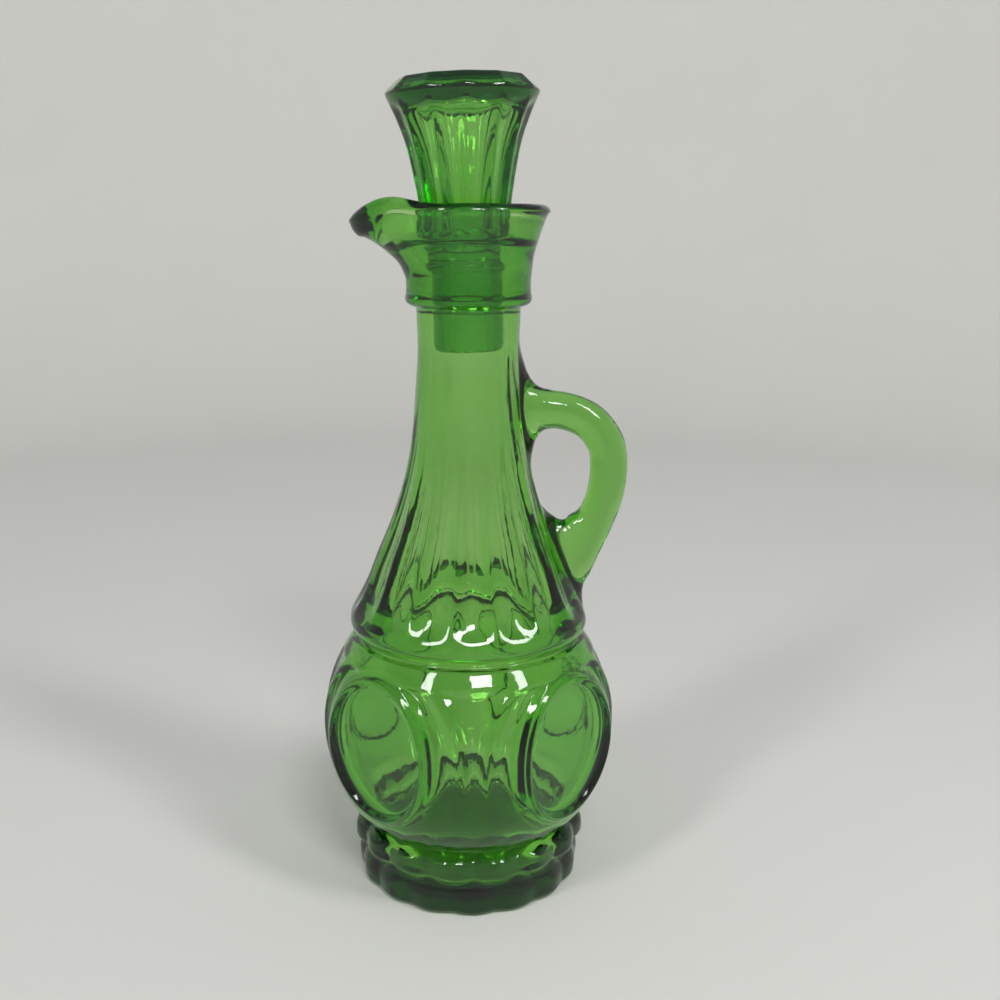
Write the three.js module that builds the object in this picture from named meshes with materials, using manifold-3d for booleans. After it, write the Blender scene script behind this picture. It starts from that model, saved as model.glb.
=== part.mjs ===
// Green pressed-glass cruet: a one-piece bottle with its handle, and the hollow stopper in its mouth.
// Millimetres, +Z up. The origin is the middle of the underside. The spout points to -X, the handle to +X.
import * as THREE from 'three';
import { mergeVertices } from 'three/addons/utils/BufferGeometryUtils.js';
import Module from 'manifold-3d';

// Foot: a low plinth, a scalloped ring above it, and the groove under the bulb
const FOOT_RADIUS = 34.7;
const FOOT_EDGE = 1.3;
const FOOT_LOBES = 16;
const FOOT_LOBE_DEPTH = 0.7;
const NOTCH_RADIUS = 34;
const NOTCH_Z = 6.4;
const RING_RADIUS = 36.4;
const RING_TOP = 18.8;
const RING_LOBE_DEPTH = 1.5;
const LOBE_ROUNDNESS = 0.6;
const GROOVE_RADIUS = 31.7;
const GROOVE_Z = 19.8;

// Bulb: a sphere with four oval windows, and a fluted hourglass panel between each pair
const BULB_RADIUS = 45;
const BULB_Z = 49.5;
const BULB_BOTTOM_Z = 22;
const BULB_TOP_Z = 77.3;
const WINDOWS = 4;
const WINDOW_Z = 50.5;
const WINDOW_HALF_WIDTH = 17.8;
const WINDOW_HALF_HEIGHT = 19.8;
const WINDOW_PLANE = 39.6;
const BEZEL_TUBE = 1.1;
const BEZEL_SUNK = 0.6;
const PANEL_BOTTOM_Z = 34;
const PANEL_TOP_Z = 73;
const PANEL_DEPTH = 1.5;
const PANEL_ARCH = 4;
const PANEL_ROUNDNESS = 0.8;

// Ridges of the panel, as shares of its half width: their places and flat crests, and how both spread upwards
const PANEL_RIDGE = 0.28;
const PANEL_RIDGE_SPREAD = 0.2;
const PANEL_CREST = 0.035;
const PANEL_CREST_SPREAD = 0.045;

// Waist, ledge and fluted cone
const WAIST_RADIUS = 33.6;
const WAIST_Z = 78.3;
const LEDGE_RADIUS = 36.2;
const LEDGE_Z = 82.4;
const CONE_FLUTES = 16;
const CONE_FLUTE_DEPTH = 1.5;
const FLUTE_ROUNDNESS = 0.7;
const FLUTE_END_Z = 84;
const FLUTE_FULL_Z = 90;
const FLUTE_FADE_Z = 150;
const CONE_LINE = [
  [31.9, 92.5], [28.1, 102], [23.9, 112], [20.5, 122], [18.3, 131], [16.8, 140], [15.8, 150],
];

// Neck, collar and lip
const NECK_RADIUS = 14.9;
const NECK_Z = 164;
const COLLAR_RADIUS = 18.2;
const COLLAR_Z = 177.2;
const LIP_START_Z = 184.5;
const LIP_LINE = [[18.8, 190.6], [20.6, 196.8], [22.6, 202]];
const LIP_RADIUS = 23.4;
const LIP_Z = 205;
const LIP_WALL = 5;
const LIP_ROUND = 2.2;
const LIP_FLAT = 0.6;

// Spout: how far the lip is drawn out and down, from its start up to its rim, and the inside's share of it
const SPOUT_NARROWNESS = 7;
const SPOUT_LIFT = 2;
const SPOUT_DRAW = [[0, 0], [1.2, 0], [2.9, -0.4], [5.5, -1.3], [9.1, -2.9], [10.4, -3.3], [10, -0.6]];
const SPOUT_INSIDE_SHARE = 0.72;

// Inside of the bottle: it follows the outside, flat behind the windows, up to the bore and the lip's funnel
const INSIDE_RADIUS = 38.6;
const INSIDE_PLANE = 33.6;
const INSIDE_BOTTOM_Z = 26;
const INSIDE_TOP_Z = 70;
const FLOOR_LINE = [[0, 6.5], [22, 6.8], [27.6, 8.6], [29.4, 12], [28.6, 16.5], [27, 20]];
const INSIDE_CONE_LINE = [
  [28.9, 78], [27.4, 88], [24.6, 97], [20.6, 108], [16.6, 119], [13.6, 130], [11.9, 142], [10.8, 158],
];
const BORE_RADIUS = 10.8;
const SEAT_Z = 184.6;
const SEAT_RADIUS = 11.6;
const SEAT_TOP_Z = 192.4;
const FUNNEL_LINE = [[12, 193.4], [14.2, 194.3], [15.5, 196.4], [17, 200.2]];

// Handle: the middle line of its bar, the bar's section, its flare at the neck and its web at the cone.
// Places along the line are shares of its length.
const HANDLE_LINE = [
  [11, 146], [20, 146.2], [28.5, 145.6], [36, 142.4], [41, 136], [42.2, 128.5],
  [41.2, 120], [38, 111], [34.4, 103], [31.6, 96], [30.6, 89], [30.4, 83.5],
];
const HANDLE_HALF_THICKNESS = 5.6;
const HANDLE_HALF_WIDTH = 5.4;
const HANDLE_TOP_FLARE = 8.6;
const HANDLE_FLARE_END = 0.2;
const HANDLE_FLARE_WIDTH = 0.45;
const HANDLE_WEB = 9;
const HANDLE_WEB_FROM = 0.63;
const HANDLE_WEB_FULL = 0.77;
const HANDLE_TAIL_NARROWING = 1.2;

// Stopper: fluted head with a bevelled top, flange and plug, hollow from below
const STOPPER_TOP_Z = 239;
const STOPPER_TOP_RADIUS = 18.2;
const STOPPER_RIM_RADIUS = 21.7;
const STOPPER_RIM_Z = 235.6;
const STOPPER_BAND_Z = 232.8;
const STOPPER_FLUTES = 12;
const STOPPER_TURN = 15;
const STOPPER_FLUTE_DEPTH = 1.3;
const HEAD_LINE = [[13.3, 206], [15.9, 220], [18.4, 227.6]];
const HEAD_FOOT_RADIUS = 12.6;
const HEAD_FOOT_Z = 196;
const PEG_RADIUS = 9.9;
const FLANGE_RADIUS = 10.9;
const FLANGE_Z = 186.6;
const FLANGE_HEIGHT = 2.4;
const PLUG_RADIUS = 10.1;
const PLUG_END_Z = 164;
const CAVITY_LINE = [
  [0, 236.4], [8, 236.2], [12, 235.2], [12.8, 232.8], [11.9, 227], [9.9, 218.5], [7.6, 208], [6.2, 199],
  [5, 188],
];
const CAVITY_MOUTH = 5;
const STOPPER_LEAN = 1.5;
const STOPPER_LEAN_Z = 170;

// Facets round the axis
const BODY_SIDES = 96;
const INSIDE_SIDES = 28;
const STOPPER_SIDES = 48;
const HANDLE_SIDES = 12;
const HANDLE_STEPS = 22;
const BEZEL_SIDES = 28;
const BEZEL_TUBE_SIDES = 5;

const GLASS = { color: 0x4fa024, roughness: 0.06, metalness: 0 };

const wasm = await Module();
wasm.setup();

const { clamp, degToRad, smoothstep } = THREE.MathUtils;
const point = (r, z) => new THREE.Vector2(r, z);
const rises = (low, high, value) => smoothstep(value, low, high);
const falls = (low, high, value) => 1 - rises(low, high, value);
const onSphere = (z, radius) => Math.sqrt(Math.max(radius ** 2 - (z - BULB_Z) ** 2, 0));

// Curves in the plane of radius and height
const straight = (start, end) => new THREE.LineCurve(point(...start), point(...end));
const smoothLine = (points) => new THREE.SplineCurve(points.map(([r, z]) => point(r, z)));

function bulbArc(radius, fromZ, toZ) {
  const [start, end] = [fromZ, toZ].map((z) => Math.asin((z - BULB_Z) / radius));
  return new THREE.EllipseCurve(0, BULB_Z, radius, radius, start, end);
}

// Points along a chain of curves, each with its number of steps
const outline = (pieces) => pieces.flatMap(([curve, steps], i) => curve.getPoints(steps).slice(i ? 1 : 0));

// Angle from the nearest of `count` equal directions, the first of them at `start`
function fromNearest(angle, count, start) {
  const pitch = (2 * Math.PI) / count;
  const turn = (angle - start) / pitch;
  return (turn - Math.round(turn)) * pitch;
}

// One hollow between two ridges: 1 in the middle, 0 on the ridges
function hollow(angle, count, start = 0) {
  const off = fromNearest(angle, count, start);
  return Math.cos((off * count) / 2) ** 2;
}

// A solid of revolution about Z whose points are then moved by `shape(radius, angle, z)`
function turned(profile, sides, shape) {
  const geometry = new THREE.LatheGeometry(profile, sides);
  const position = geometry.attributes.position;
  const rows = profile.length;
  for (let column = 0; column <= sides; column += 1) {
    const angle = (2 * Math.PI * (column % sides)) / sides;
    for (let row = 0; row < rows; row += 1) {
      const { x: radius, y: height } = profile[row];
      const [r, z] = radius > 0 ? shape(radius, angle, height, row) : [0, height];
      position.setXYZ(column * rows + row, r * Math.cos(angle), r * Math.sin(angle), z);
    }
  }
  return geometry;
}

// A closed geometry as a solid for joining and cutting
function solid(geometry) {
  const bare = geometry.clone();
  bare.deleteAttribute('normal');
  bare.deleteAttribute('uv');
  const merged = mergeVertices(bare, 1e-3);
  const triangles = [];
  for (let i = 0; i < merged.index.count; i += 3) {
    const corners = [0, 1, 2].map((k) => merged.index.getX(i + k));
    if (new Set(corners).size === 3) triangles.push(...corners);
  }
  const mesh = new wasm.Mesh({
    numProp: 3,
    vertProperties: new Float32Array(merged.attributes.position.array),
    triVerts: new Uint32Array(triangles),
  });
  const made = new wasm.Manifold(mesh);
  return made.volume() < 0 ? new wasm.Manifold(flipped(mesh)) : made;
}

function flipped(mesh) {
  const turnedOver = Uint32Array.from(mesh.triVerts);
  for (let i = 0; i < turnedOver.length; i += 3) {
    [turnedOver[i], turnedOver[i + 1]] = [turnedOver[i + 1], turnedOver[i]];
  }
  return new wasm.Mesh({ numProp: 3, vertProperties: mesh.vertProperties, triVerts: turnedOver });
}

function glassPiece(name, manifold) {
  const mesh = manifold.getMesh();
  const geometry = new THREE.BufferGeometry();
  geometry.setAttribute('position', new THREE.BufferAttribute(Float32Array.from(mesh.vertProperties), 3));
  geometry.setIndex(new THREE.BufferAttribute(Uint32Array.from(mesh.triVerts), 1));
  geometry.computeVertexNormals();
  const piece = new THREE.Mesh(geometry, new THREE.MeshStandardMaterial(GLASS));
  piece.name = name;
  return piece;
}

// Quarter round of the rim, outer or inner. A narrow flat is left between the two.
const RIM_HALF = (LIP_WALL - LIP_FLAT) / 2;
const RIM_FOOT_Z = LIP_Z - LIP_ROUND;
const LIP_INSIDE_RADIUS = LIP_RADIUS - LIP_WALL;

function rimRound(middle, fromAngle) {
  const clockwise = fromAngle > Math.PI / 2;
  return new THREE.EllipseCurve(middle, RIM_FOOT_Z, RIM_HALF, LIP_ROUND, fromAngle, Math.PI / 2, clockwise);
}

// Outside of the bottle, from the underside up to the rim of the lip
function outsideProfile() {
  const footMiddle = FOOT_RADIUS - FOOT_EDGE;
  const underside = straight([0, 0], [footMiddle, 0]);
  const foot = new THREE.EllipseCurve(footMiddle, FOOT_EDGE, FOOT_EDGE, FOOT_EDGE, -Math.PI / 2, 0);
  const ring = smoothLine([
    [FOOT_RADIUS, FOOT_EDGE], [FOOT_RADIUS, NOTCH_Z - 1.6], [NOTCH_RADIUS, NOTCH_Z],
    [RING_RADIUS - 0.4, NOTCH_Z + 2], [RING_RADIUS, (NOTCH_Z + RING_TOP) / 2],
    [RING_RADIUS - 0.6, RING_TOP - 1.6], [RING_RADIUS - 2.4, RING_TOP], [GROOVE_RADIUS, GROOVE_Z],
  ]);
  const groove = straight([GROOVE_RADIUS, GROOVE_Z], [onSphere(BULB_BOTTOM_Z, BULB_RADIUS), BULB_BOTTOM_Z]);
  const bulb = bulbArc(BULB_RADIUS, BULB_BOTTOM_Z, BULB_TOP_Z);
  const coneStart = [LEDGE_RADIUS - 0.3, LEDGE_Z + 2.6];
  const ledge = smoothLine([
    [onSphere(BULB_TOP_Z, BULB_RADIUS), BULB_TOP_Z], [WAIST_RADIUS, WAIST_Z],
    [LEDGE_RADIUS - 0.8, LEDGE_Z - 2.2], [LEDGE_RADIUS, LEDGE_Z], coneStart,
  ]);
  const neckEnd = [NECK_RADIUS + 0.3, COLLAR_Z - 1];
  const cone = smoothLine([coneStart, ...CONE_LINE, [NECK_RADIUS, NECK_Z], neckEnd]);
  const lipStart = [COLLAR_RADIUS - 0.1, LIP_START_Z];
  const collar = smoothLine([
    neckEnd, [COLLAR_RADIUS - 0.7, COLLAR_Z], [COLLAR_RADIUS + 0.2, COLLAR_Z + 1.4],
    [COLLAR_RADIUS - 0.1, COLLAR_Z + 3.4], lipStart,
  ]);
  const lip = smoothLine([lipStart, ...LIP_LINE, [LIP_RADIUS, RIM_FOOT_Z]]);
  const rim = rimRound(LIP_RADIUS - RIM_HALF, 0);
  const closing = straight([LIP_RADIUS - RIM_HALF, LIP_Z], [0, LIP_Z]);
  return outline([
    [underside, 1], [foot, 1], [ring, 7], [groove, 1], [bulb, 9], [ledge, 4],
    [cone, 7], [collar, 3], [lip, 4], [rim, 1], [closing, 1],
  ]);
}

// Inside of the bottle, from its floor up through the bore, the seat and the funnel
function insideProfile() {
  const floor = smoothLine([...FLOOR_LINE, [onSphere(INSIDE_BOTTOM_Z, INSIDE_RADIUS), INSIDE_BOTTOM_Z]]);
  const bulb = bulbArc(INSIDE_RADIUS, INSIDE_BOTTOM_Z, INSIDE_TOP_Z);
  const cone = smoothLine([
    [onSphere(INSIDE_TOP_Z, INSIDE_RADIUS), INSIDE_TOP_Z], ...INSIDE_CONE_LINE, [BORE_RADIUS, SEAT_Z],
  ]);
  const seat = smoothLine([[BORE_RADIUS, SEAT_Z], [SEAT_RADIUS, SEAT_Z + 3], [SEAT_RADIUS, SEAT_TOP_Z]]);
  const funnel = smoothLine([[SEAT_RADIUS, SEAT_TOP_Z], ...FUNNEL_LINE, [LIP_INSIDE_RADIUS, RIM_FOOT_Z]]);
  const rim = rimRound(LIP_INSIDE_RADIUS + RIM_HALF, Math.PI);
  const above = LIP_Z + 4;
  const closing = straight([LIP_INSIDE_RADIUS + RIM_HALF, above], [0, above]);
  const line = outline([[floor, 5], [bulb, 4], [cone, 7], [seat, 2], [funnel, 4], [rim, 1]]);
  return [...line, ...closing.getPoints(1)];
}

// Half the angle left to the panel between two windows at a height
function panelEdge(z) {
  const up = (z - WINDOW_Z) / (WINDOW_HALF_HEIGHT + BEZEL_TUBE);
  const across = (WINDOW_HALF_WIDTH + BEZEL_TUBE) * Math.sqrt(Math.max(1 - up ** 2, 0));
  return Math.PI / WINDOWS - Math.atan(across / WINDOW_PLANE);
}

// Depth of the three flutes of the hourglass panels
function panelFlutes(angle, z) {
  const across = Math.abs(fromNearest(angle, WINDOWS, 0)) / panelEdge(z);
  const spread = rises(WINDOW_Z, PANEL_TOP_Z, z);
  const ridge = PANEL_RIDGE + PANEL_RIDGE_SPREAD * spread;
  const crest = PANEL_CREST + PANEL_CREST_SPREAD * spread;
  const middle = Math.cos((Math.PI / 2) * Math.min(across / (ridge - crest), 1));
  const side = Math.sin(Math.PI * clamp((across - ridge - crest) / (1 - ridge - crest), 0, 1));
  const bow = Math.max(middle, side, 0) ** PANEL_ROUNDNESS;
  const end = PANEL_BOTTOM_Z + PANEL_ARCH * (1 - bow);
  return PANEL_DEPTH * bow * rises(end, end + 2.5, z) * falls(PANEL_TOP_Z - 2, PANEL_TOP_Z, z);
}

// The lip drawn out to the spout at -X: radius and height of a lip point
const spoutDraw = smoothLine(SPOUT_DRAW);

function drawnOut(radius, angle, z, share) {
  const up = clamp((z - LIP_START_Z) / (LIP_Z - LIP_START_Z), 0, 1);
  const facing = Math.max(-Math.cos(angle), 0) ** SPOUT_NARROWNESS;
  const draw = spoutDraw.getPointAt(up);
  const lift = SPOUT_LIFT * 4 * facing * (1 - facing) * up ** 3;
  return [radius + share * draw.x * facing, z + draw.y * facing ** 2 + lift];
}

function outsideShape(radius, angle, z) {
  if (z > LIP_START_Z) {
    const inwards = z < RIM_FOOT_Z ? 0 : (LIP_RADIUS - radius) / LIP_WALL;
    return drawnOut(radius, angle, z, 1 - (1 - SPOUT_INSIDE_SHARE) * inwards);
  }
  let r = radius;
  const onFoot = z < NOTCH_Z && radius > NOTCH_RADIUS - FOOT_EDGE;
  const onRing = z >= NOTCH_Z && z < GROOVE_Z;
  if (onFoot) r -= FOOT_LOBE_DEPTH * (1 - hollow(angle, FOOT_LOBES) ** LOBE_ROUNDNESS);
  if (onRing) r -= RING_LOBE_DEPTH * (1 - hollow(angle, FOOT_LOBES, Math.PI / FOOT_LOBES) ** LOBE_ROUNDNESS);
  if (z > PANEL_BOTTOM_Z && z < PANEL_TOP_Z) r -= panelFlutes(angle, z);
  const fade = rises(FLUTE_END_Z, FLUTE_FULL_Z, z) * falls(FLUTE_FULL_Z, FLUTE_FADE_Z, z);
  r -= CONE_FLUTE_DEPTH * fade * hollow(angle, CONE_FLUTES) ** FLUTE_ROUNDNESS;
  return [r, z];
}

// The inner wall is flat behind the windows and drawn out in the spout
function insideShape(radius, angle, z) {
  if (z > LIP_START_Z) {
    const outwards = z < RIM_FOOT_Z ? 0 : (radius - LIP_INSIDE_RADIUS) / LIP_WALL;
    return drawnOut(radius, angle, z, SPOUT_INSIDE_SHARE + (1 - SPOUT_INSIDE_SHARE) * outwards);
  }
  const off = fromNearest(angle, WINDOWS, Math.PI / WINDOWS);
  return [Math.min(radius, INSIDE_PLANE / Math.cos(off)), z];
}

// Cutter that presses one window flat
function windowCutter(angle) {
  const depth = BULB_RADIUS;
  const cutter = new THREE.CylinderGeometry(1, 1, depth, BEZEL_SIDES);
  cutter.rotateZ(-Math.PI / 2);
  cutter.scale(1, WINDOW_HALF_WIDTH, WINDOW_HALF_HEIGHT);
  cutter.translate(WINDOW_PLANE + depth / 2, 0, WINDOW_Z);
  cutter.rotateZ(angle);
  return solid(cutter);
}

// Raised rim round one window, following the bulb
function bezel(angle) {
  const ring = new THREE.TorusGeometry(1, BEZEL_TUBE, BEZEL_TUBE_SIDES, BEZEL_SIDES);
  const position = ring.attributes.position;
  const sunk = BEZEL_TUBE * BEZEL_SUNK;
  for (let i = 0; i < position.count; i += 1) {
    const turn = Math.atan2(position.getY(i), position.getX(i));
    const out = Math.hypot(position.getX(i), position.getY(i)) - 1;
    const y = (WINDOW_HALF_WIDTH + sunk + out) * Math.cos(turn);
    const z = (WINDOW_HALF_HEIGHT + sunk + out) * Math.sin(turn) + WINDOW_Z;
    const surface = Math.sqrt(BULB_RADIUS ** 2 - y ** 2 - (z - BULB_Z) ** 2);
    position.setXYZ(i, surface - sunk + position.getZ(i), y, z);
  }
  ring.rotateZ(angle);
  return solid(ring);
}

// Handle: a round bar bent along its middle line, spread at the neck, with a web in its corner at the cone
function handle() {
  const line = new THREE.CatmullRomCurve3(HANDLE_LINE.map(([x, z]) => new THREE.Vector3(x, 0, z)));
  const bar = new THREE.CylinderGeometry(1, 1, 1, HANDLE_SIDES, HANDLE_STEPS);
  const position = bar.attributes.position;
  const across = new THREE.Vector3(0, 1, 0);
  for (let i = 0; i < position.count; i += 1) {
    const along = clamp(0.5 - position.getY(i), 0, 1);
    const middle = line.getPointAt(along);
    const outward = new THREE.Vector3().crossVectors(line.getTangentAt(along), across);
    const flare = HANDLE_TOP_FLARE * falls(0, HANDLE_FLARE_END, along) ** 2;
    const web = position.getX(i) < 0 ? HANDLE_WEB * rises(HANDLE_WEB_FROM, HANDLE_WEB_FULL, along) : 0;
    const narrowing = HANDLE_TAIL_NARROWING * rises(HANDLE_WEB_FULL, 1, along);
    const thick = HANDLE_HALF_THICKNESS + flare + web;
    const wide = HANDLE_HALF_WIDTH + flare * HANDLE_FLARE_WIDTH - narrowing;
    middle.addScaledVector(outward, thick * position.getX(i));
    middle.addScaledVector(across, wide * position.getZ(i));
    position.setXYZ(i, middle.x, middle.y, middle.z);
  }
  return solid(bar);
}

function makeBottle() {
  let bottle = solid(turned(outsideProfile(), BODY_SIDES, outsideShape));
  for (let i = 0; i < WINDOWS; i += 1) {
    const angle = ((i + 0.5) * 2 * Math.PI) / WINDOWS;
    bottle = bottle.add(bezel(angle)).subtract(windowCutter(angle));
  }
  const inside = solid(turned(insideProfile(), INSIDE_SIDES, insideShape));
  return glassPiece('bottle', bottle.add(handle()).subtract(inside));
}

// Hollow of the stopper, from its closed top down to the plug's end
function hollowProfile() {
  return outline([[smoothLine([...CAVITY_LINE, [CAVITY_MOUTH, PLUG_END_Z]]), 8]]);
}

// Outside of the stopper, from the plug's end up to the middle of the top
function stopperOutside() {
  const flangeTop = FLANGE_Z + FLANGE_HEIGHT;
  const plug = [
    [PLUG_RADIUS - 1.2, PLUG_END_Z], [PLUG_RADIUS, PLUG_END_Z + 1.6], [PLUG_RADIUS, FLANGE_Z - 0.6],
    [FLANGE_RADIUS, FLANGE_Z + 0.6], [FLANGE_RADIUS, flangeTop - 0.4], [PEG_RADIUS, flangeTop + 1.2],
    [PEG_RADIUS, HEAD_FOOT_Z - 2.4], [HEAD_FOOT_RADIUS - 0.6, HEAD_FOOT_Z - 1],
  ];
  const head = smoothLine([
    [HEAD_FOOT_RADIUS, HEAD_FOOT_Z], ...HEAD_LINE, [STOPPER_RIM_RADIUS - 1, STOPPER_BAND_Z],
  ]);
  const top = [
    [STOPPER_RIM_RADIUS, STOPPER_RIM_Z - 0.4], [STOPPER_RIM_RADIUS - 0.3, STOPPER_RIM_Z + 0.2],
    [STOPPER_TOP_RADIUS + 0.3, STOPPER_TOP_Z - 0.5], [STOPPER_TOP_RADIUS - 1.2, STOPPER_TOP_Z],
    [0, STOPPER_TOP_Z],
  ];
  const ends = [plug, top].map((points) => points.map(([r, z]) => point(r, z)));
  return [...ends[0], ...head.getPoints(6), ...ends[1]];
}

// Flutes of the head, and the polygon of its bevelled top
function headShape(radius, angle, z) {
  const start = degToRad(STOPPER_TURN);
  const fluted = rises(HEAD_FOOT_Z, HEAD_FOOT_Z + 3, z) * falls(STOPPER_BAND_Z - 2.5, STOPPER_BAND_Z, z);
  const depth = STOPPER_FLUTE_DEPTH * fluted * hollow(angle, STOPPER_FLUTES, start) ** FLUTE_ROUNDNESS;
  const off = fromNearest(angle, STOPPER_FLUTES, start);
  const polygon = z > STOPPER_RIM_Z ? Math.cos(Math.PI / STOPPER_FLUTES) / Math.cos(off) : 1;
  return [radius * polygon - depth, z];
}

// The stopper sits loose in the bore and leans a little towards the spout
function leaningStopper() {
  const inside = hollowProfile();
  const shape = (radius, angle, z, row) => (row < inside.length ? [radius, z] : headShape(radius, angle, z));
  const glass = solid(turned([...inside, ...stopperOutside()], STOPPER_SIDES, shape));
  const stopper = glassPiece('stopper', glass);
  stopper.position.z = -STOPPER_LEAN_Z;
  const pivot = new THREE.Group();
  pivot.position.z = STOPPER_LEAN_Z;
  pivot.rotation.y = degToRad(-STOPPER_LEAN);
  pivot.add(stopper);
  return pivot;
}

const cruet = new THREE.Group();
cruet.add(makeBottle());
cruet.add(leaningStopper());

export default cruet;
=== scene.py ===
"""Looks of the green pressed-glass cruet: the bottle with its handle, and the hollow stopper in its mouth.

Sizes are in millimetres, and heights are from the underside of the foot.
The node trees work in millimetres and end in metres. Only the handle's joint is all in metres.
"""

import math

import bmesh
import bpy
import numpy as np
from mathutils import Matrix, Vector


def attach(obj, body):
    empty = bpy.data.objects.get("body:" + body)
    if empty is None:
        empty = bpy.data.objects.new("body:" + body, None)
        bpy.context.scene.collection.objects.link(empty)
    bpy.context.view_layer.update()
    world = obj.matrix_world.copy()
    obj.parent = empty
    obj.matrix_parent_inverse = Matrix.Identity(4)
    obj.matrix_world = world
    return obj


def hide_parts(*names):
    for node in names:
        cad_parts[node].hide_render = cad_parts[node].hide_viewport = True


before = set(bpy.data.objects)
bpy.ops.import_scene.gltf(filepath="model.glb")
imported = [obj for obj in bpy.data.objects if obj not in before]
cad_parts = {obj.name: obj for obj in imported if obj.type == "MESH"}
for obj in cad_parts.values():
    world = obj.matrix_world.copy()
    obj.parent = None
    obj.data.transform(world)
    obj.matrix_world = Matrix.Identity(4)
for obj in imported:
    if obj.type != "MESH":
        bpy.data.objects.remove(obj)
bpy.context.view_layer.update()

MM = 0.001

# Foot: a low plinth with soft lobes, a scalloped ring above it, and the groove under the bulb
FOOT_RADIUS = 34.7
FOOT_EDGE = 2.0
FOOT_LINE = [(34.9, 5.2), (34.4, 7.6)]
FOOT_LOBES = 16
FOOT_LOBE_DEPTH = 1.0
NOTCH_RADIUS = 33.6
NOTCH_Z = 10.2
NOTCH_FADE = 1.5
PLINTH_LOBES_FROM = (30.6, 32.6)
RING_LINE = [(35.8, 12.4), (36.2, 14.5), (35.8, 17.2), (34, 18.8)]
RING_LOBE_DEPTH = 1.5
RING_FADE = 0.8
LOBE_ROUNDNESS = 0.6
GROOVE_RADIUS = 31.7
GROOVE_Z = 19.8

# Bulb: a sphere with four oval windows, and a fluted hourglass panel between each pair
BULB_RADIUS = 45.0
BULB_Z = 49.5
BULB_BOTTOM_Z = 22.0
BULB_TOP_Z = 77.3
WINDOWS = 4
WINDOW_Z = 50.5
WINDOW_HALF_WIDTH = 17.8
WINDOW_HALF_HEIGHT = 19.8
WINDOW_PLANE = 39.6
BEZEL_WIDTH = 2.4
BEZEL_RISE = 0.4
BEZEL_INNER_SHARE = 0.4
BEZEL_OUTER_SHARE = 1.7
BEZEL_STEP = (-0.3, 0.35)
BEZEL_CREST = (0.05, 1.1)
PANEL_BOTTOM_Z = 34.0
PANEL_TOP_Z = 73.0
PANEL_DEPTH = 1.5
PANEL_ARCH = 4.0
PANEL_FULLNESS = 0.8
PANEL_RUN_IN = 12.0
PANEL_RUN_OUT = 2.0
PANEL_RIDGE = 0.28
PANEL_RIDGE_SPREAD = 0.2
PANEL_RIDGE_WIDTH = 0.035
PANEL_RIDGE_WIDENING = 0.045

# Waist, ledge and fluted cone
WAIST_RADIUS = 33.6
WAIST_Z = 78.3
LEDGE_LINE = [(35.4, 80.2), (36.2, 82.4), (35.9, 85)]
CONE_FLUTES = 16
CONE_FLUTE_DEPTH = 1.5
CONE_RIDGE_SHARPNESS = 0.7
FLUTE_END_Z = 84.0
FLUTE_FULL_Z = 90.0
FLUTE_FADE_Z = 150.0
CONE_LINE = [
    (31.9, 92.5), (28.1, 102), (23.9, 112), (20.5, 122), (18.3, 131), (16.8, 140), (15.8, 150),
]

# Neck, collar, and the lip that is drawn out to the spout
NECK_RADIUS = 14.9
NECK_Z = 164.0
NECK_TOP = (15.2, 176.2)
COLLAR_LINE = [(17.5, 177.2), (18.4, 178.6), (18.1, 180.6)]
LIP_START_RADIUS = 18.1
LIP_START_Z = 184.5
LIP_RADIUS = 23.4
LIP_Z = 205.0
LIP_WALL = 6.0
LIP_ROUND = 2.2
LIP_LINE = [(18.8, 190.6), (20.6, 196.8), (22.6, 202)]
SPOUT_NARROWNESS = 7.0
SPOUT_LIFT = 2.0
# Height, and how far the spout is drawn out there or sags
SPOUT_REACH = [
    (184.5, 0), (188.6, 1.6), (192.6, 5), (196.5, 8.7), (200.3, 10.5), (202.4, 10.8), (205, 9.2),
]
SPOUT_SAG = [
    (184.5, 0), (192.6, 0), (196.5, -0.8), (198.4, -2.4), (200.3, -3.2), (202.4, -2.8), (205, -0.6),
]
SPOUT_INSIDE_SHARE = 0.72

# Inside of the bottle: it follows the outside, flat behind the windows, up to bore, seat and funnel
INSIDE_RADIUS = 38.6
INSIDE_PLANE = 33.6
INSIDE_PLANE_BLEND = 6.0
INSIDE_BOTTOM_Z = 26.0
INSIDE_TOP_Z = 70.0
PANE_FADES = (5.0, 2.0, 3.0)
FLOOR_LINE = [(0, 6.5), (22, 6.8), (27.6, 8.6), (29.4, 12), (28.6, 16.5), (27, 20)]
INSIDE_CONE_LINE = [
    (28.9, 78), (27.4, 88), (24.6, 97), (20.6, 108), (16.6, 119), (13.6, 130), (11.9, 142), (10.8, 158),
]
BORE_RADIUS = 10.8
SEAT_Z = 184.6
SEAT_RADIUS = 11.6
SEAT_FULL_Z = 187.6
SEAT_TOP_Z = 194.2
FUNNEL_LINE = [(12.1, 195.1), (13.2, 195.6), (14.3, 197), (15.8, 200.2)]

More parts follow.
